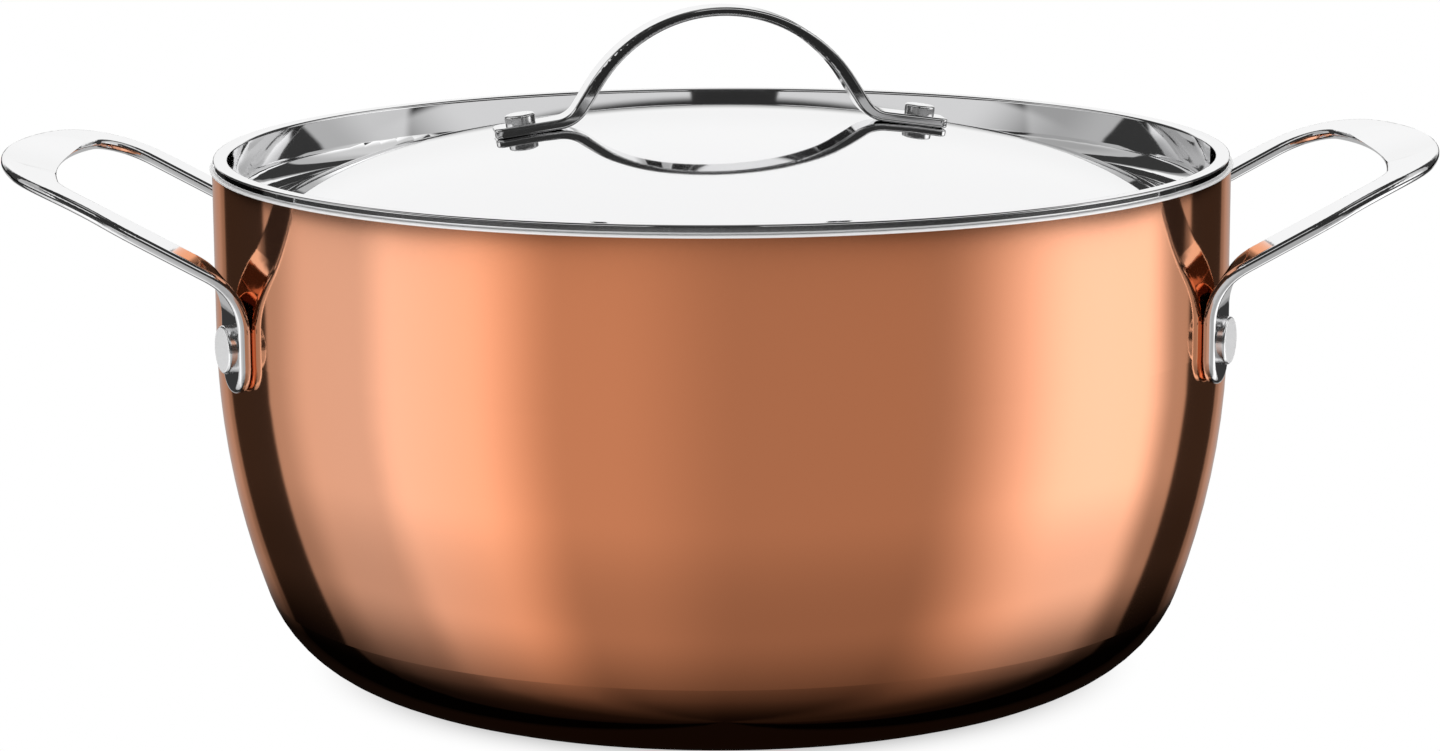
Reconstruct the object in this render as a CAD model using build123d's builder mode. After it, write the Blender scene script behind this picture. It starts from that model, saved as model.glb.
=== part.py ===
"""A 24 cm copper-clad pan with two riveted loop handles and a drop-in lid, in millimetres.

The origin is the centre of the flat base and +Z is up. +X runs through the two side handles, and
-Y is the front. The wall is three layers bonded face to face: copper outside, aluminium in the
middle and steel inside, where the steel turns outwards over the other two as the lip. Each side
handle is one forged loop, curved round the pan's own axis so that its two tabs lie on the wall.
The lid is one pressed sheet that hangs by its flange on the lip, with a strap handle on its dome.
"""

import os
from math import asin, atan2, cos, degrees, hypot, radians, sin, sqrt

from build123d import *

os.makedirs("parts", exist_ok=True)

# Pan body
inner_diameter = 240
pan_height = 124
liner_thickness = 0.6
core_thickness = 1.3
copper_thickness = 0.6
straight_wall_height = 40
bulge_radius = 188
base_corner_radius = 31.5
lip_overhang = 0.5
lip_edge_radius = 0.25

# Side handles: the tabs on the wall
tab_angle = 23.5
tab_width = 13.8
tab_thickness = 3
tab_drop_below_rivet = 10.4
rivet_depth_below_lip = 37

# Side handles: the fold above each tab, the rising bars and the pad, seen from the front
upper_fold_radius = 16
lower_fold_radius = 13
bar_thickness = 2.8
bar_rise_angle = 28.5
bar_arch_radius = 76
tip_rise_angle = 4
tip_rise_above_lip = 4
tip_thickness = 2.7
handle_reach = 50

# Side handles: the loop as seen from above
loop_half_width = 58.3
loop_corner_radius = 34
tip_radius = 105
bar_width = 12.5
pad_width = 13.6
opening_corner_radius = 13
opening_end_radius = 170
leg_turn_radius = 12

# Side handles: edges, and the dish for the fingertips in the pad
handle_edge_radius = 1.2
dish_half_length = 29
dish_depth = 1.5

# Rivets of the side handles
wall_rivet_head_diameter = 11.3
wall_rivet_head_height = 2
wall_rivet_head_edge_radius = 0.7
wall_rivet_shank_diameter = 6
wall_rivet_tail_diameter = 10
wall_rivet_tail_height = 1.6
wall_rivet_tail_edge_radius = 0.8

# Lid
lid_sheet_thickness = 0.8
lid_wall_clearance = 0.5
lid_flange_inset = 0.8
lid_flange_height = 2.2
lid_flange_bend_radius = 0.8
lid_flange_edge_radius = 0.6
lid_crown_above_lip = 10.2
lid_dome_radius = 349
lid_dome_edge_inset = 45
lid_knuckle_radius = 147
lid_channel_radius = 5.5
lid_turn_angle = 7

# Strap handle of the lid
grip_rivet_reach = 48.3
grip_foot_reach = 55
grip_width = 9
grip_foot_thickness = 2.5
grip_leg_thickness = 3.1
grip_top_thickness = 2.2
grip_inner_radius = 34.2
grip_clearance_above_crown = 24.3
grip_leg_angle = 58
grip_upper_bend_radius = 6
grip_lower_bend_radius = 9
grip_edge_radius = 0.7
grip_foot_corner_radius = 2

# Rivets of the lid
lid_rivet_head_diameter = 7.3
lid_rivet_head_height = 2.4
lid_rivet_head_edge_radius = 0.7
lid_rivet_shank_diameter = 4
lid_rivet_tail_diameter = 7
lid_rivet_tail_height = 1.3
lid_rivet_tail_edge_radius = 0.6

# Every cut runs this far past the material
overrun = 2

# The pan's wall
inner_radius = inner_diameter / 2
wall_thickness = liner_thickness + core_thickness + copper_thickness
outer_radius = inner_radius + wall_thickness
lip_radius = outer_radius + lip_overhang
layer_top = pan_height - liner_thickness
bulge_top = pan_height - straight_wall_height
bulge_centre_x = outer_radius - bulge_radius
corner_centre_x = bulge_centre_x + sqrt(
    (bulge_radius - base_corner_radius) ** 2 - (bulge_top - base_corner_radius) ** 2
)
bulge_sweep = degrees(
    atan2(bulge_top - base_corner_radius, corner_centre_x - bulge_centre_x)
)
rivet_height = pan_height - rivet_depth_below_lip
tab_outer_radius = outer_radius + tab_thickness


def trace_bowl(inset):
    """The wall's line at an inset from the copper face, from the axis to the straight wall."""
    Line((0, inset), (corner_centre_x, inset))
    CenterArc(
        (corner_centre_x, base_corner_radius),
        base_corner_radius - inset,
        -90,
        90 - bulge_sweep,
    )
    CenterArc(
        (bulge_centre_x, bulge_top), bulge_radius - inset, -bulge_sweep, bulge_sweep
    )


def plain_layer(outer_inset, inner_inset):
    """Half section of a layer that stops under the lip, between two insets."""
    with BuildSketch(Plane.XZ) as section:
        with BuildLine():
            trace_bowl(outer_inset)
            trace_bowl(inner_inset)
            Line((0, outer_inset), (0, inner_inset))
            Polyline(
                (outer_radius - outer_inset, bulge_top),
                (outer_radius - outer_inset, layer_top),
                (outer_radius - inner_inset, layer_top),
                (outer_radius - inner_inset, bulge_top),
            )
        make_face()
    return section.sketch


def radial_plane(angle, reach, height):
    """A plane at a reach from the pan's axis that looks outwards, with its own y up."""
    outward = Vector(1, 0, 0).rotate(Axis.Z, angle)
    sideways = Vector(0, 1, 0).rotate(Axis.Z, angle)
    return Plane(
        origin=outward * reach + Vector(0, 0, height), x_dir=sideways, z_dir=outward
    )


def drill_rivet_holes():
    """Four round holes along the radius, one at each tab."""
    for angle in (tab_angle, 180 - tab_angle, 180 + tab_angle, -tab_angle):
        with BuildSketch(
            radial_plane(angle, inner_radius - overrun, rivet_height)
        ) as hole:
            Circle(wall_rivet_shank_diameter / 2)
        extrude(
            hole.sketch,
            amount=wall_thickness + tab_thickness + 2 * overrun,
            mode=Mode.SUBTRACT,
        )


# The copper skin
with BuildPart() as copper_shell:
    add(plain_layer(0, copper_thickness))
    revolve(axis=Axis.Z)
    drill_rivet_holes()

# The aluminium layer that spreads the heat
with BuildPart() as aluminium_core:
    add(plain_layer(copper_thickness, copper_thickness + core_thickness))
    revolve(axis=Axis.Z)
    drill_rivet_holes()

# The steel lining, with the lip that covers the edges of the other two layers
with BuildPart() as steel_liner:
    with BuildSketch(Plane.XZ):
        with BuildLine():
            trace_bowl(copper_thickness + core_thickness)
            trace_bowl(wall_thickness)
            Line((0, copper_thickness + core_thickness), (0, wall_thickness))
            FilletPolyline(
                (inner_radius, bulge_top),
                (inner_radius, pan_height),
                (lip_radius, pan_height),
                (lip_radius, layer_top),
                (inner_radius + liner_thickness, layer_top),
                radius=lip_edge_radius,
            )
            Line(
                (inner_radius + liner_thickness, layer_top),
                (inner_radius + liner_thickness, bulge_top),
            )
        make_face()
    revolve(axis=Axis.Z)
    drill_rivet_holes()

# The side handle's upper line, seen from the front: straight over the bars, then an arc to the tip
tab_bottom = rivet_height - tab_drop_below_rivet
tip_reach = outer_radius + handle_reach
tip_top = pan_height + tip_rise_above_lip
opening_reach = tip_reach - pad_width
bar_arch_centre = Vector(tip_reach, tip_top) - Vector(0, bar_arch_radius).rotate(
    Axis.Z, tip_rise_angle
)
bar_direction = Vector(1, 0).rotate(Axis.Z, bar_rise_angle)
bar_normal = Vector(0, 1).rotate(Axis.Z, bar_rise_angle)
bar_end = bar_arch_centre + bar_normal * bar_arch_radius
bar_start = bar_end - bar_direction * (bar_end.X - inner_radius / 2)


def pad_top(reach):
    """Height of the pad's upper face at a reach from the pan's axis."""
    return bar_arch_centre.Y + sqrt(
        bar_arch_radius**2 - (reach - bar_arch_centre.X) ** 2
    )


def trace_upper_line():
    """The upper line of the bars and the pad, from the pan outwards."""
    Line(bar_start, bar_end)
    CenterArc(
        bar_arch_centre,
        bar_arch_radius,
        90 + tip_rise_angle,
        bar_rise_angle - tip_rise_angle,
    )


def trace_bar_section():
    """The closed section of bars and pad, which thins towards the tip."""
    trace_upper_line()
    lower_end = bar_end - bar_normal * bar_thickness
    tip_low = Vector(tip_reach, tip_top - tip_thickness)
    Polyline(bar_start, bar_start - bar_normal * bar_thickness, lower_end)
    TangentArc(lower_end, tip_low, tangent=bar_direction)
    Line(tip_low, (tip_reach, tip_top))


def beside_tab(reach, offset):
    """A point as seen from above, at a reach along a tab's middle line and an offset from it."""
    return Vector(reach, offset).rotate(Axis.Z, tab_angle)


def trace_loop_edge(offset, half_width, end_reach, end_radius):
    """One edge of the loop from above: beside each tab, along each bar and round the end."""
    root = beside_tab(inner_radius, offset)
    turn_reach = (half_width - offset * cos(radians(tab_angle))) / sin(radians(tab_angle))
    turn = beside_tab(turn_reach, offset)
    corner = Vector(
        end_reach - end_radius + sqrt(end_radius**2 - half_width**2), half_width
    )
    Polyline(root, turn, corner)
    mirror(about=Plane.XZ)
    ThreePointArc(corner, (end_reach, 0), (corner.X, -corner.Y))
    Line(root, (root.X, -root.Y))


def loop_outline():
    """The loop from above, with round corners and the opening for the fingers."""
    with BuildSketch() as outside:
        with BuildLine():
            trace_loop_edge(tab_width / 2, loop_half_width, tip_reach, tip_radius)
        make_face()
        fillet(outside.vertices().group_by(Axis.X)[-1], loop_corner_radius)
        fillet(outside.vertices().group_by(Axis.X)[1], leg_turn_radius)
    with BuildSketch() as opening:
        with BuildLine():
            trace_loop_edge(
                -tab_width / 2,
                loop_half_width - bar_width,
                opening_reach,
                opening_end_radius,
            )
        make_face()
        fillet(opening.vertices().group_by(Axis.X)[-1], opening_corner_radius)
        fillet(opening.vertices().group_by(Axis.X)[1], leg_turn_radius)
    return outside.sketch - opening.sketch


def lies_at(edge, reach):
    """True for an edge whose middle is at a reach from the pan's axis."""
    middle = edge @ 0.5
    return abs(hypot(middle.X, middle.Y) - reach) < tab_thickness / 100


def is_broad(face):
    """True for the faces above and below the loop, the folds and the two faces of each tab."""
    centre = face.center()
    reach = hypot(centre.X, centre.Y)
    on_tab = min(abs(reach - outer_radius), abs(reach - tab_outer_radius))
    level = abs(face.normal_at().Z) > 0.5 and centre.Z > rivet_height
    return (
        level
        or face.geom_type == GeomType.BSPLINE
        or (face.geom_type == GeomType.CYLINDER and on_tab < tab_thickness / 100)
    )


# The tabs before they are cut to width: a ring on the wall, cut off by the bars' upper face
with BuildPart() as tab_ring:
    with BuildSketch(Plane.XY.offset(tab_bottom)):
        Circle(tab_outer_radius)
        Circle(outer_radius, mode=Mode.SUBTRACT)
    extrude(amount=tip_top - tab_bottom)
    with BuildSketch(Plane.XZ):
        with BuildLine():
            trace_upper_line()
            Polyline(
                (tip_reach, tip_top),
                (tip_reach, tab_bottom),
                (bar_start.X, tab_bottom),
                bar_start,
            )
        make_face()
    extrude(amount=loop_half_width + overrun, both=True, mode=Mode.INTERSECT)

# The dish is part of a wide cylinder that sinks towards the opening and runs out at the tip
dish_radius = (dish_half_length**2 + dish_depth**2) / (2 * dish_depth)
dish_start = Vector(opening_reach, 0, pad_top(opening_reach) - dish_depth)
dish_end = Vector(tip_reach, 0, tip_top)
dish_run = (dish_end - dish_start).normalized()

# The right-hand loop
with BuildPart() as right_handle:
    with BuildSketch(Plane.XZ):
        with BuildLine():
            trace_bar_section()
        make_face()
    extrude(amount=loop_half_width + overrun, both=True)
    with BuildSketch():
        Circle(outer_radius)
    extrude(amount=2 * pan_height, mode=Mode.SUBTRACT)
    add(tab_ring.part)
    folds = right_handle.edges().filter_by(GeomType.ELLIPSE)
    fillet(folds.filter_by(lambda edge: lies_at(edge, outer_radius)), upper_fold_radius)
    fillet(
        folds.filter_by(lambda edge: lies_at(edge, tab_outer_radius)), lower_fold_radius
    )
    extrude(
        Plane.XY.offset(tab_bottom - overrun) * loop_outline(),
        amount=tip_top - tab_bottom + 2 * overrun,
        mode=Mode.INTERSECT,
    )
    for angle in (tab_angle, -tab_angle):
        with BuildSketch(radial_plane(angle, inner_radius, tab_bottom + tab_width / 2)):
            Rectangle(
                tab_width + 2 * overrun,
                tab_width / 2 + overrun,
                align=(Align.CENTER, Align.MAX),
            )
            Circle(tab_width / 2, mode=Mode.SUBTRACT)
        extrude(amount=wall_thickness + tab_thickness + overrun, mode=Mode.SUBTRACT)
    broad_faces = right_handle.faces().filter_by(is_broad)
    rims = ShapeList(
        edge
        for edge in right_handle.edges()
        if sum(edge in face.edges() for face in broad_faces) == 1
    )
    fillet(rims, handle_edge_radius)
    drill_rivet_holes()
    with BuildSketch(
        Plane(origin=dish_start - dish_run * overrun, x_dir=(0, 1, 0), z_dir=dish_run)
    ):
        with Locations((0, dish_radius)):
            Circle(dish_radius)
    extrude(amount=pad_width + 2 * overrun, mode=Mode.SUBTRACT)

# The left-hand loop is its mirror image
with BuildPart() as left_handle:
    add(mirror(right_handle.part, about=Plane.YZ, mode=Mode.PRIVATE))


def wall_rivet(angle):
    """A rivet of a side handle, seated on the tab outside and hammered flat on the wall inside."""
    axis_point = (0, 0, rivet_height)
    with BuildPart() as tail:
        with BuildSketch(radial_plane(angle, inner_radius + overrun, rivet_height)):
            Circle(wall_rivet_tail_diameter / 2)
        extrude(amount=-overrun - wall_rivet_tail_height)
        fillet(
            tail.faces().sort_by_distance(axis_point)[0].edges(),
            wall_rivet_tail_edge_radius,
        )
        with BuildSketch():
            Circle(inner_radius)
        extrude(amount=pan_height, mode=Mode.INTERSECT)
        add(steel_liner.part, mode=Mode.SUBTRACT)
    with BuildPart() as rivet:
        with BuildSketch(radial_plane(angle, inner_radius, rivet_height)):
            Circle(wall_rivet_head_diameter / 2)
        extrude(amount=wall_thickness + tab_thickness + wall_rivet_head_height)
        fillet(
            rivet.faces().sort_by_distance(axis_point)[-1].edges(),
            wall_rivet_head_edge_radius,
        )
        with BuildSketch():
            Circle(tab_outer_radius)
        extrude(amount=pan_height, mode=Mode.SUBTRACT)
        add(tail.part)
        shank_start = inner_radius - wall_rivet_tail_height / 2
        with BuildSketch(radial_plane(angle, shank_start, rivet_height)):
            Circle(wall_rivet_shank_diameter / 2)
        extrude(amount=tab_outer_radius + wall_rivet_head_height / 2 - shank_start)
    return rivet.part


# The lid's section: a dome, a knuckle, a channel and a plug wall that run into each other
lid_wall_radius = inner_radius - lid_wall_clearance
flange_top = pan_height + lid_flange_height
flange_radius = lip_radius - lid_flange_inset
dome_top = pan_height + lid_crown_above_lip
lid_dome_reach = inner_radius - lid_dome_edge_inset
dome_centre = Vector(0, dome_top - lid_dome_radius)
dome_end_angle = degrees(asin(lid_dome_reach / lid_dome_radius))
knuckle_centre = dome_centre + Vector(0, lid_dome_radius - lid_knuckle_radius).rotate(
    Axis.Z, -dome_end_angle
)
channel_centre_x = lid_wall_radius - lid_sheet_thickness - lid_channel_radius
knuckle_to_channel = lid_knuckle_radius + lid_channel_radius
knuckle_end_angle = degrees(
    asin((channel_centre_x - knuckle_centre.X) / knuckle_to_channel)
)
channel_centre = knuckle_centre + Vector(0, knuckle_to_channel).rotate(
    Axis.Z, -knuckle_end_angle
)


def trace_lid(inset):
    """The lid's line at an inset from its upper face, from the crown to the plug wall."""
    CenterArc(
        dome_centre, lid_dome_radius - inset, 90 - dome_end_angle, dome_end_angle
    )
    CenterArc(
        knuckle_centre,
        lid_knuckle_radius - inset,
        90 - knuckle_end_angle,
        knuckle_end_angle - dome_end_angle,
    )
    CenterArc(
        channel_centre,
        lid_channel_radius + inset,
        270 - knuckle_end_angle,
        90 + knuckle_end_angle,
    )


# The lid's handle stands on lines that touch the dome at the two rivets
foot_tilt = degrees(asin(grip_rivet_reach / lid_dome_radius))
foot_normal = Vector(0, 1).rotate(Axis.Z, -foot_tilt)
foot_direction = Vector(1, 0).rotate(Axis.Z, -foot_tilt)
foot_seat = dome_centre + foot_normal * lid_dome_radius
strap_plane = Plane(
    origin=(0, 0, 0),
    x_dir=Vector(1, 0, 0).rotate(Axis.Z, lid_turn_angle),
    z_dir=Vector(0, -1, 0).rotate(Axis.Z, lid_turn_angle),
)


def lid_rivet_plane(side, rise):
    """A plane square to the dome at one of its two rivets, at a rise off the upper face."""
    point = foot_seat + foot_normal * rise
    return Plane(
        origin=strap_plane.from_local_coords(Vector(side * point.X, point.Y)),
        x_dir=strap_plane.z_dir,
        z_dir=strap_plane.x_dir * (side * foot_normal.X) + Vector(0, 0, foot_normal.Y),
    )


# The lid
with BuildPart() as lid:
    with BuildSketch(Plane.XZ):
        with BuildLine():
            trace_lid(0)
            trace_lid(lid_sheet_thickness)
            Line((0, dome_top), (0, dome_top - lid_sheet_thickness))
            FilletPolyline(
                (lid_wall_radius - lid_sheet_thickness, channel_centre.Y),
                (lid_wall_radius - lid_sheet_thickness, flange_top),
                (flange_radius, flange_top),
                (flange_radius, pan_height),
                (lid_wall_radius, pan_height),
                radius=[
                    lid_flange_bend_radius,
                    lid_flange_edge_radius,
                    lid_flange_edge_radius,
                ],
            )
            Line((lid_wall_radius, pan_height), (lid_wall_radius, channel_centre.Y))
        make_face()
    revolve(axis=Axis.Z)
    for side in (1, -1):
        with BuildSketch(lid_rivet_plane(side, overrun)):
            Circle(lid_rivet_shank_diameter / 2)
        extrude(amount=-lid_sheet_thickness - 2 * overrun, mode=Mode.SUBTRACT)

# The strap's arch: an outer arc of its own centre makes it thinner at the top than at the legs
leg_normal = Vector(0, 1).rotate(Axis.Z, -grip_leg_angle)
arch_top = dome_top + grip_clearance_above_crown
leg_share = cos(radians(grip_leg_angle))
outer_arch_radius = grip_inner_radius + (
    grip_leg_thickness - grip_top_thickness * leg_share
) / (1 - leg_share)


def trace_strap_side(top, arch_radius, rise, bend_radius_here):
    """One side of the strap: an arch, two straight legs, a bend in each and the two feet."""
    leg_top = Vector(0, top - arch_radius) + leg_normal * arch_radius
    foot_line = foot_seat + foot_normal * rise
    corner = foot_line + foot_direction * (
        (leg_top - foot_line).dot(leg_normal) / foot_direction.dot(leg_normal)
    )
    foot_end = foot_line + foot_direction * (grip_foot_reach - grip_rivet_reach)
    FilletPolyline(leg_top, corner, foot_end, radius=bend_radius_here)
    mirror(about=Plane.YZ)
    ThreePointArc(leg_top, (0, top), (-leg_top.X, leg_top.Y))
    return foot_end


def lies_across_foot_end(edge):
    """True for the four upright edges at the corners of the two feet."""
    middle = strap_plane.to_local_coords(edge @ 0.5)
    return abs(middle.X) > grip_rivet_reach and edge.length < 1.01 * grip_foot_thickness


def faces_along_strap(face):
    """True for the strap's upper and lower faces, whose rims are the long edges."""
    return abs(face.normal_at().dot(strap_plane.z_dir)) < 0.01


# The lid's handle
with BuildPart() as lid_handle:
    with BuildSketch(strap_plane):
        with BuildLine():
            lower_end = trace_strap_side(
                arch_top, grip_inner_radius, 0, grip_lower_bend_radius
            )
        with BuildLine():
            upper_end = trace_strap_side(
                arch_top + grip_top_thickness,
                outer_arch_radius,
                grip_foot_thickness,
                grip_upper_bend_radius,
            )
        with BuildLine():
            Line(lower_end, upper_end)
            mirror(about=Plane.YZ)
        make_face()
    extrude(amount=grip_width / 2, both=True)
    foot_corners = lid_handle.edges().filter_by(lies_across_foot_end)
    fillet(foot_corners, grip_foot_corner_radius)
    rims = lid_handle.faces().filter_by(faces_along_strap).edges()
    fillet(rims, grip_edge_radius)
    for side in (1, -1):
        with BuildSketch(lid_rivet_plane(side, grip_foot_thickness + overrun)):
            Circle(lid_rivet_shank_diameter / 2)
        extrude(amount=-grip_foot_thickness - 2 * overrun, mode=Mode.SUBTRACT)


def lid_rivet_tail(side):
    """The flat tail of a lid rivet, seated on the hollow underside of the dome."""
    with BuildPart() as tail:
        with BuildSketch(lid_rivet_plane(side, 0)):
            Circle(lid_rivet_tail_diameter / 2)
        extrude(amount=-lid_sheet_thickness - lid_rivet_tail_height)
        fillet(tail.faces().sort_by(Axis.Z)[0].edges(), lid_rivet_tail_edge_radius)
        with Locations((0, 0, dome_centre.Y)):
            Sphere(lid_dome_radius - lid_sheet_thickness, mode=Mode.INTERSECT)
    return tail.part


def lid_rivet(side):
    """A rivet of the lid's handle, square to the dome, with its tail under the lid."""
    with BuildPart() as rivet:
        with BuildSketch(lid_rivet_plane(side, grip_foot_thickness)):
            Circle(lid_rivet_head_diameter / 2)
        extrude(amount=lid_rivet_head_height)
        fillet(
            rivet.edges().group_by(Axis.Z)[-1],
            lid_rivet_head_edge_radius,
        )
        add(lid_rivet_tail(side))
        with BuildSketch(lid_rivet_plane(side, grip_foot_thickness)):
            Circle(lid_rivet_shank_diameter / 2)
        extrude(
            amount=-grip_foot_thickness - lid_sheet_thickness - lid_rivet_tail_height / 2
        )
    return rivet.part


for name, sub_part in (
    ("copper_shell", copper_shell.part),
    ("aluminium_core", aluminium_core.part),
    ("steel_liner", steel_liner.part),
    ("right_handle", right_handle.part),
    ("left_handle", left_handle.part),
    ("right_rear_rivet", wall_rivet(tab_angle)),
    ("left_rear_rivet", wall_rivet(180 - tab_angle)),
    ("left_front_rivet", wall_rivet(180 + tab_angle)),
    ("right_front_rivet", wall_rivet(-tab_angle)),
    ("lid", lid.part),
    ("lid_handle", lid_handle.part),
    ("lid_right_rivet", lid_rivet(1)),
    ("lid_left_rivet", lid_rivet(-1)),
):
    sub_part.label = name
    export_step(sub_part, f"parts/{name}.step")
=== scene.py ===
"""Looks of the copper pan with its lid: polished metals, a white studio and the camera."""

from math import cos, radians, sin

import bpy
from mathutils import Matrix, Vector

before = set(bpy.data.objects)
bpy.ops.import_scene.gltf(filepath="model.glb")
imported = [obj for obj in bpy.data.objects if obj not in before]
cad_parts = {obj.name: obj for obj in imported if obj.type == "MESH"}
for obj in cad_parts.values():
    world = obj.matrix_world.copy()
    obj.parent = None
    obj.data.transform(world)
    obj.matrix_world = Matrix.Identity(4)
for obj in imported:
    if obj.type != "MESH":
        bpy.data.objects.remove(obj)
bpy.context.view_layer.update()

# Camera: its distance from the middle of the rim and its elevation over it, and how far its look
# is pitched down and turned to the right
rim_centre = Vector((0, 0, 0.124))
camera_distance = 0.992
camera_elevation = radians(7.86)
camera_pitch = radians(10.92)
camera_turn = radians(1.45)
camera_roll = radians(-0.28)
lens_mm = 102.3
sensor_width_mm = 36
view_shift = -0.0017

# Studio as the metals see it, in levels of light and in degrees. A bearing is 0 towards the camera,
# 180 behind the pan and less than 0 to the left, and a rise is the angle over the horizon. One level
# turns into the next between a pair of them. The windows and their gap lie between theirs.
front_level = 0.42
left_card_level = 0.57
left_card_bearings = (4, -26)
left_softbox_level = 1.14
left_softbox_bearings = (-36, -60)
left_wing_level = 0.79
left_wing_bearings = (-78, -90)
right_softbox_level = 1.35
right_softbox_bearings = (45, 85)
softbox_top_share = 0.5
softbox_fade_rises = (0, 14)
side_level = 0.5
side_bearings = (106, 121)
flag_level = 0.04
left_flag_bearings = (-123.5, -125)
right_flag_bearings = (126, 128)
back_corner_level = 0.3
back_corner_bearings = (149, 151)
back_bearings = (152, 156)
back_wall_level = 1.0
back_wall_low_level = 0.94
back_wall_rises = (4, 18)
back_table_level = 0.46
back_table_rises = (-2, 3)
ceiling_level = 0.03
front_ceiling_rise = -3
back_ceiling_rise = 48
ceiling_bearings = (60, 120)
ceiling_softness = 5
zenith_level = 0.35
zenith_rises = (70, 88)
window_level = 0.78
window_rises = (31, 47)
window_softness = 4
window_side_bearings = (118, 78)
window_gap_bearings = (-19, 8)
window_gap_softness = 1

# Copper: its deeper tone in front and a paler tone towards the pan's sides, which is painted light
# (the cooler light of the side softboxes against the warm front), its tone at flat angles, and how
# far aside of the middle the first turns into the second
copper_colour = (0.97, 0.345, 0.16)
copper_side_painted_light_colour = (0.97, 0.466, 0.291)
copper_edge_colour = (1, 0.68, 0.5)
copper_side_painted_light_distances = (0.034, 0.085)
copper_roughness = 0.06
copper_wave = 0.00002

# Steel, aluminium and the marks of polishing
steel_colour = (0.9, 0.9, 0.905)
steel_roughness = 0.03
aluminium_colour = (0.8, 0.8, 0.81)
aluminium_roughness = 0.3
polish_wear = 0.02
polish_scale = 900
wave_scale = 28

# Liner: brushed inside, and satin on its lip, from the height of the lip's underside up; the lip's
# whiter, half matte colour is a painted highlight, a light line all round
brushed_colour = (0.7, 0.7, 0.71)
brushed_roughness = (0.1, 0.3)
brushing_scale = 1500
lip_bottom = 0.1233
lip_softness = 0.0002
lip_painted_highlight_colour = (0.97, 0.97, 0.97)
lip_roughness = 0.4
lip_painted_highlight_metallic = 0.3

# Rivets: polished sides and satin faces, and the turn of the wall's rivets from the X axis
rivet_colour = (0.95, 0.95, 0.955)
rivet_side_roughness = 0.2
rivet_face_roughness = (0.26, 0.36)
rivet_face_metallic = 0.2
rivet_face_slopes = (0.8, 0.96)
wall_rivet_turn = radians(23.5)

# Floor, and what the metals alone see on it: a painted shadow of the pan around its foot and the
# dark far end of a table
floor_radius = 3.0
floor_colour = (0.95, 0.95, 0.95)
floor_roughness = 0.9
floor_white_start = 0.066
floor_white_end = 0.104
shade_height = 0.0001
shade_foot_share = 0.012
shade_middle_share = 0.72
shade_start = 0.117
shade_middle = 0.165
shade_end = 0.26
shade_side_stretch = 1.0
shade_front_stretch = 1.1
far_table_start = 0.902
far_table_end = 0.912
far_table_level = 0.05
table_side_stretch = 1.037


class Graph:
    """Short names for the nodes of one material or world."""

    def __init__(self, tree):
        self.tree = tree
        tree.nodes.clear()

    def add(self, kind, **settings):
        node = self.tree.nodes.new(kind)
        for name, value in settings.items():
            setattr(node, name, value)
        return node

    def join(self, source, target):
        self.tree.links.new(source, target)

    def show(self, shader, output="ShaderNodeOutputMaterial"):
        """Join a shader to the output of the material or the world."""
        self.join(shader, self.add(output).inputs["Surface"])

    def mix(self, amount, first, second):
        """The shader first where amount is 0 and the shader second where it is 1."""
        node = self.add("ShaderNodeMixShader")
        for index, source in enumerate((amount, first, second)):
            self.join(source, node.inputs[index])
        return node.outputs[0]

    def split(self, vector):
        """The x, y and z of a vector."""
        node = self.add("ShaderNodeSeparateXYZ")
        self.join(vector, node.inputs[0])
        return node.outputs

    def math(self, operation, *values):
        node = self.add("ShaderNodeMath", operation=operation)
        for index, value in enumerate(values):
            if isinstance(value, (int, float)):
                node.inputs[index].default_value = value
            else:
                self.join(value, node.inputs[index])
        return node.outputs[0]

    def step(self, value, low, high):
        """A smooth step from 0 at low to 1 at high, or back where low is the larger."""
        node = self.add("ShaderNodeMapRange", interpolation_type="SMOOTHSTEP")
        self.join(value, node.inputs["Value"])
        node.inputs["From Min"].default_value = min(low, high)
        node.inputs["From Max"].default_value = max(low, high)
        node.inputs["To Min"].default_value = 0 if low < high else 1
        node.inputs["To Max"].default_value = 1 if low < high else 0
        return node.outputs["Result"]

    def band(self, value, start, end, softness):
        """1 between start and end, with soft shoulders."""
        rise = self.step(value, start - softness / 2, start + softness / 2)
        fall = self.step(value, end + softness / 2, end - softness / 2)
        return self.math("MULTIPLY", rise, fall)

    def blend(self, amount, low, high):
        """low where amount is 0 and high where it is 1."""
        share = self.math("MULTIPLY", self.math("SUBTRACT", high, low), amount)
        return self.math("ADD", low, share)

    def tint(self, amount, low, high):
        """The colour low where amount is 0 and high where it is 1."""
        node = self.add("ShaderNodeMix", data_type="RGBA")
        self.join(amount, node.inputs["Factor"])
        colours = [socket for socket in node.inputs if socket.type == "RGBA"]
        colours[0].default_value = (*low, 1)
        colours[1].default_value = (*high, 1)
        return next(socket for socket in node.outputs if socket.type == "RGBA")

    def noise(self, vector, scale, detail, roughness=0.5):
        node = self.add("ShaderNodeTexNoise")
        self.join(vector, node.inputs["Vector"])
        node.inputs["Scale"].default_value = scale
        node.inputs["Detail"].default_value = detail
        node.inputs["Roughness"].default_value = roughness
        return node.outputs["Fac"]


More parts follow.
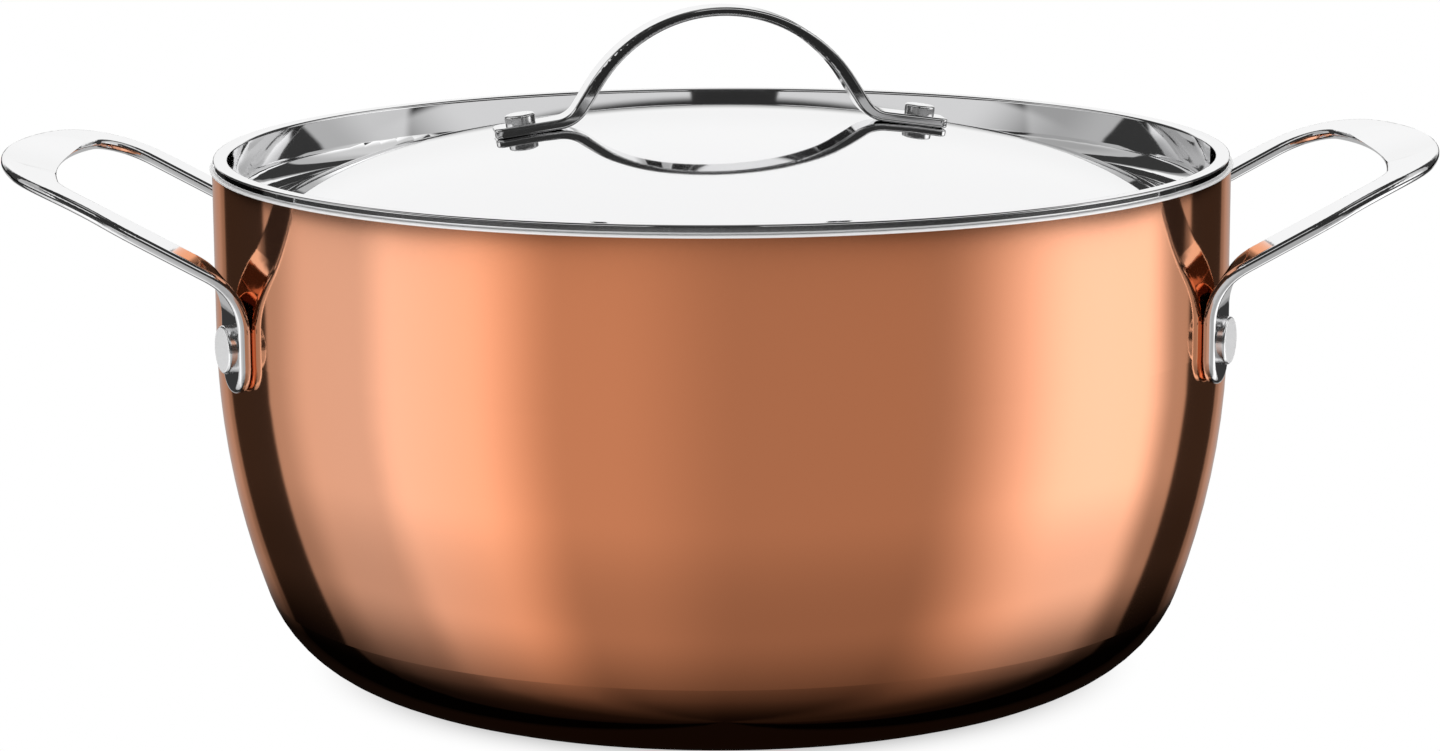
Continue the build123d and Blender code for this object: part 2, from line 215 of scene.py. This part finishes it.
def light_studio():
    """The world: white, but with softboxes, flags and a dark ceiling where the metals mirror it."""
    world = bpy.data.worlds.new("studio")
    bpy.context.scene.world = world
    world.use_nodes = True
    g = Graph(world.node_tree)
    x, y, z = g.split(g.add("ShaderNodeTexCoord").outputs["Generated"])
    bearing = g.math("DEGREES", g.math("ARCTAN2", x, g.math("MULTIPLY", y, -1)))
    aside = g.math("ABSOLUTE", bearing)
    rise = g.math("DEGREES", g.math("ARCSINE", z))

    # In front a dim card, with softboxes to its left and right that fade upwards
    level = g.blend(g.step(bearing, *left_card_bearings), front_level, left_card_level)
    level = g.blend(g.step(bearing, *left_softbox_bearings), level, left_softbox_level)
    level = g.blend(g.step(bearing, *left_wing_bearings), level, left_wing_level)
    level = g.blend(g.step(bearing, *right_softbox_bearings), level, right_softbox_level)
    fade = g.blend(g.step(rise, *softbox_fade_rises), 1, softbox_top_share)
    level = g.math("MULTIPLY", level, fade)
    level = g.blend(g.step(aside, *side_bearings), level, side_level)

    # Narrow black flags at both sides, and a white wall over a grey table behind
    level = g.blend(g.step(bearing, *left_flag_bearings), level, flag_level)
    level = g.blend(g.step(bearing, *right_flag_bearings), level, flag_level)
    level = g.blend(g.step(aside, *back_corner_bearings), level, back_corner_level)
    back_wall = g.blend(g.step(rise, *back_wall_rises), back_wall_low_level, back_wall_level)
    back = g.blend(g.step(rise, *back_table_rises), back_table_level, back_wall)
    level = g.blend(g.step(aside, *back_bearings), level, back)

    # The dark ceiling reaches lower in front than behind, and is lighter straight above
    behind = g.step(aside, *ceiling_bearings)
    ceiling_rise = g.blend(behind, front_ceiling_rise, back_ceiling_rise)
    above = g.math("SUBTRACT", rise, ceiling_rise)
    level = g.blend(g.step(above, 0, ceiling_softness), level, ceiling_level)
    level = g.blend(g.step(rise, *zenith_rises), level, zenith_level)

    # Two high windows in front leave a dark gap above the camera
    gap = g.band(bearing, *window_gap_bearings, window_gap_softness)
    wide = g.math("MAXIMUM", g.math("SUBTRACT", g.step(aside, *window_side_bearings), gap), 0)
    window = g.math("MULTIPLY", g.band(rise, *window_rises, window_softness), wide)
    level = g.blend(window, level, window_level)

    glossy = g.add("ShaderNodeBackground")
    g.join(level, glossy.inputs["Color"])
    plain = g.add("ShaderNodeBackground")
    plain.inputs["Color"].default_value = (1, 1, 1, 1)
    mirrored = g.add("ShaderNodeLightPath").outputs["Is Glossy Ray"]
    g.show(g.mix(mirrored, plain.outputs[0], glossy.outputs[0]), "ShaderNodeOutputWorld")


def new_material(name):
    """A material and its empty graph."""
    material = bpy.data.materials.new(name)
    material.use_nodes = True
    return material, Graph(material.node_tree)


def new_metal(name):
    """A material, its graph and the one shader that it shows."""
    material, g = new_material(name)
    shader = g.add("ShaderNodeBsdfPrincipled")
    g.show(shader.outputs[0])
    return material, g, shader


def metal(name, colour, roughness, wave=0.0, side_painted_light_colour=None, edge_colour=None):
    """A polished metal with faint polishing marks in its roughness and, if asked, slight waves.

    The side_painted_light_colour is painted light: the paler tone that the metal turns to towards
    the pan's left and right, for the cooler light there. The edge_colour is what it turns to where
    it is seen at a flat angle.
    """
    material, g, shader = new_metal(name)
    shader.inputs["Metallic"].default_value = 1
    shader.inputs["Base Color"].default_value = (*colour, 1)
    place = g.add("ShaderNodeTexCoord").outputs["Object"]
    marks = g.noise(place, polish_scale, detail=4, roughness=0.7)
    g.join(g.blend(marks, roughness, roughness + polish_wear), shader.inputs["Roughness"])
    # Painted light: the base colour turns paler towards the pan's left and right, for the cooler
    # light of the side softboxes
    if side_painted_light_colour:
        shader.inputs["Specular Tint"].default_value = (*edge_colour, 1)
        aside = g.math("ABSOLUTE", g.split(place)["X"])
        painted_side_light = g.step(aside, *copper_side_painted_light_distances)
        g.join(g.tint(painted_side_light, colour, side_painted_light_colour), shader.inputs["Base Color"])
    if wave:
        bump = g.add("ShaderNodeBump")
        bump.inputs["Distance"].default_value = wave
        g.join(g.noise(place, wave_scale, detail=1), bump.inputs["Height"])
        g.join(bump.outputs[0], shader.inputs["Normal"])
    return material


def liner_metal():
    """Steel brushed in rings, with a satin lip whose whiter, half matte colour paints a light line
    all round.
    """
    material, g, shader = new_metal("brushed_steel")
    x, y, z = g.split(g.add("ShaderNodeTexCoord").outputs["Object"])
    radius = g.math("SQRT", g.math("ADD", g.math("MULTIPLY", x, x), g.math("MULTIPLY", y, y)))
    ring = g.add("ShaderNodeCombineXYZ")
    g.join(radius, ring.inputs["X"])
    g.join(z, ring.inputs["Z"])
    lines = g.noise(ring.outputs[0], brushing_scale, detail=3, roughness=0.7)
    lip = g.step(z, lip_bottom, lip_bottom + lip_softness)
    brushed_lines = g.blend(lines, *brushed_roughness)
    g.join(g.blend(lip, brushed_lines, lip_roughness), shader.inputs["Roughness"])
    # Painted highlight: on the lip the steel turns whiter and half matte, so that it shows a light
    # line all round
    g.join(g.blend(lip, 1, lip_painted_highlight_metallic), shader.inputs["Metallic"])
    g.join(g.tint(lip, brushed_colour, lip_painted_highlight_colour), shader.inputs["Base Color"])
    return material


def rivet_metal(name, axis):
    """Steel with a satin face across the rivet's axis and polished sides."""
    material, g, shader = new_metal(name)
    shader.inputs["Base Color"].default_value = (*rivet_colour, 1)
    place = g.add("ShaderNodeTexCoord")
    size = g.add("ShaderNodeVectorMath", operation="ABSOLUTE")
    g.join(place.outputs["Normal"], size.inputs[0])
    along = g.add("ShaderNodeVectorMath", operation="DOT_PRODUCT")
    g.join(size.outputs[0], along.inputs[0])
    along.inputs[1].default_value = axis
    face = g.step(along.outputs["Value"], *rivet_face_slopes)
    marks = g.noise(place.outputs["Object"], polish_scale, detail=4, roughness=0.7)
    satin = g.blend(marks, *rivet_face_roughness)
    g.join(g.blend(face, rivet_side_roughness, satin), shader.inputs["Roughness"])
    g.join(g.blend(face, 1, rivet_face_metallic), shader.inputs["Metallic"])
    return material


copper = metal(
    "polished_copper",
    copper_colour,
    copper_roughness,
    wave=copper_wave,
    side_painted_light_colour=copper_side_painted_light_colour,
    edge_colour=copper_edge_colour,
)
steel = metal("polished_steel", steel_colour, steel_roughness)
wall_rivet = rivet_metal("wall_rivet_steel", (cos(wall_rivet_turn), sin(wall_rivet_turn), 0))
lid_rivet = rivet_metal("lid_rivet_steel", (0, 0, 1))
brushed = liner_metal()
aluminium = metal("aluminium", aluminium_colour, aluminium_roughness)

node_materials = {
    "copper_shell": copper,
    "aluminium_core": aluminium,
    "steel_liner": brushed,
    "left_handle": steel,
    "right_handle": steel,
    "left_front_rivet": wall_rivet,
    "left_rear_rivet": wall_rivet,
    "right_front_rivet": wall_rivet,
    "right_rear_rivet": wall_rivet,
    "lid": steel,
    "lid_handle": steel,
    "lid_left_rivet": lid_rivet,
    "lid_right_rivet": lid_rivet,
}
for name, material in node_materials.items():
    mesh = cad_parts[name].data
    mesh.materials.clear()
    mesh.materials.append(material)


def add_disc(name, radius, height):
    """A round face at a height over the floor's level, and the empty graph of its material."""
    bpy.ops.mesh.primitive_circle_add(
        vertices=128, radius=radius, fill_type="NGON", location=(0, 0, height)
    )
    disc = bpy.context.object
    disc.name = name
    material, g = new_material(name)
    disc.data.materials.append(material)
    return disc, g


def distance_from_pan(g, side_stretch=1, front_stretch=1):
    """Distance on the floor from the middle of the pan, stretched aside and to the front."""
    place = g.add("ShaderNodeTexCoord").outputs["Object"]
    oval = g.add("ShaderNodeVectorMath", operation="MULTIPLY")
    g.join(place, oval.inputs[0])
    oval.inputs[1].default_value = (side_stretch, front_stretch, 1)
    length = g.add("ShaderNodeVectorMath", operation="LENGTH")
    g.join(oval.outputs[0], length.inputs[0])
    return length.outputs["Value"]


def make_floor():
    """A white floor that keeps the pan's soft shadow and is not seen in the metals."""
    floor, g = add_disc("floor", floor_radius, 0)
    shader = g.add("ShaderNodeBsdfPrincipled")
    shader.inputs["Base Color"].default_value = (*floor_colour, 1)
    shader.inputs["Roughness"].default_value = floor_roughness
    shader.inputs["Specular IOR Level"].default_value = 0.0
    white = g.add("ShaderNodeEmission")
    far = g.step(distance_from_pan(g), floor_white_start, floor_white_end)
    g.show(g.mix(far, shader.outputs[0], white.outputs[0]))
    floor.visible_glossy = False


def make_shade():
    """A painted shadow around the pan's foot and the table's dark far end on the floor, seen by the
    metals alone.
    """
    shade, g = add_disc("shade", floor_radius, shade_height)
    distance = distance_from_pan(g, shade_side_stretch, shade_front_stretch)
    table_distance = distance_from_pan(g, table_side_stretch)
    # Painted shadow: the floor turns dark around the pan's foot where the metals mirror it
    deep = g.step(distance, shade_start, shade_middle)
    wide = g.step(distance, shade_middle, shade_end)
    share = g.blend(wide, g.blend(deep, shade_foot_share, shade_middle_share), 1)
    share = g.blend(g.step(table_distance, far_table_start, far_table_end), share, far_table_level)
    clear = g.add("ShaderNodeBsdfTransparent")
    g.join(share, clear.inputs["Color"])
    g.show(clear.outputs[0])
    shade.visible_camera = False
    shade.visible_diffuse = False
    shade.visible_shadow = False
    shade.visible_transmission = False


def heading(turn, drop):
    """The direction of a look that is turned to the right and dropped under the horizon."""
    return Vector((sin(turn) * cos(drop), cos(turn) * cos(drop), -sin(drop)))


def make_camera():
    """The camera of the photograph."""
    eye = rim_centre - heading(camera_turn, camera_elevation) * camera_distance
    ahead = heading(camera_turn, camera_pitch)
    data = bpy.data.cameras.new("camera")
    data.lens = lens_mm
    data.sensor_width = sensor_width_mm
    data.shift_x = view_shift
    camera = bpy.data.objects.new("camera", data)
    bpy.context.scene.collection.objects.link(camera)
    aim = ahead.to_track_quat("-Z", "Y").to_matrix() @ Matrix.Rotation(camera_roll, 3, "Z")
    camera.matrix_world = Matrix.Translation(eye) @ aim.to_4x4()
    bpy.context.scene.camera = camera


light_studio()
make_floor()
make_shade()
make_camera()
bpy.context.scene.view_settings.view_transform = "Standard"
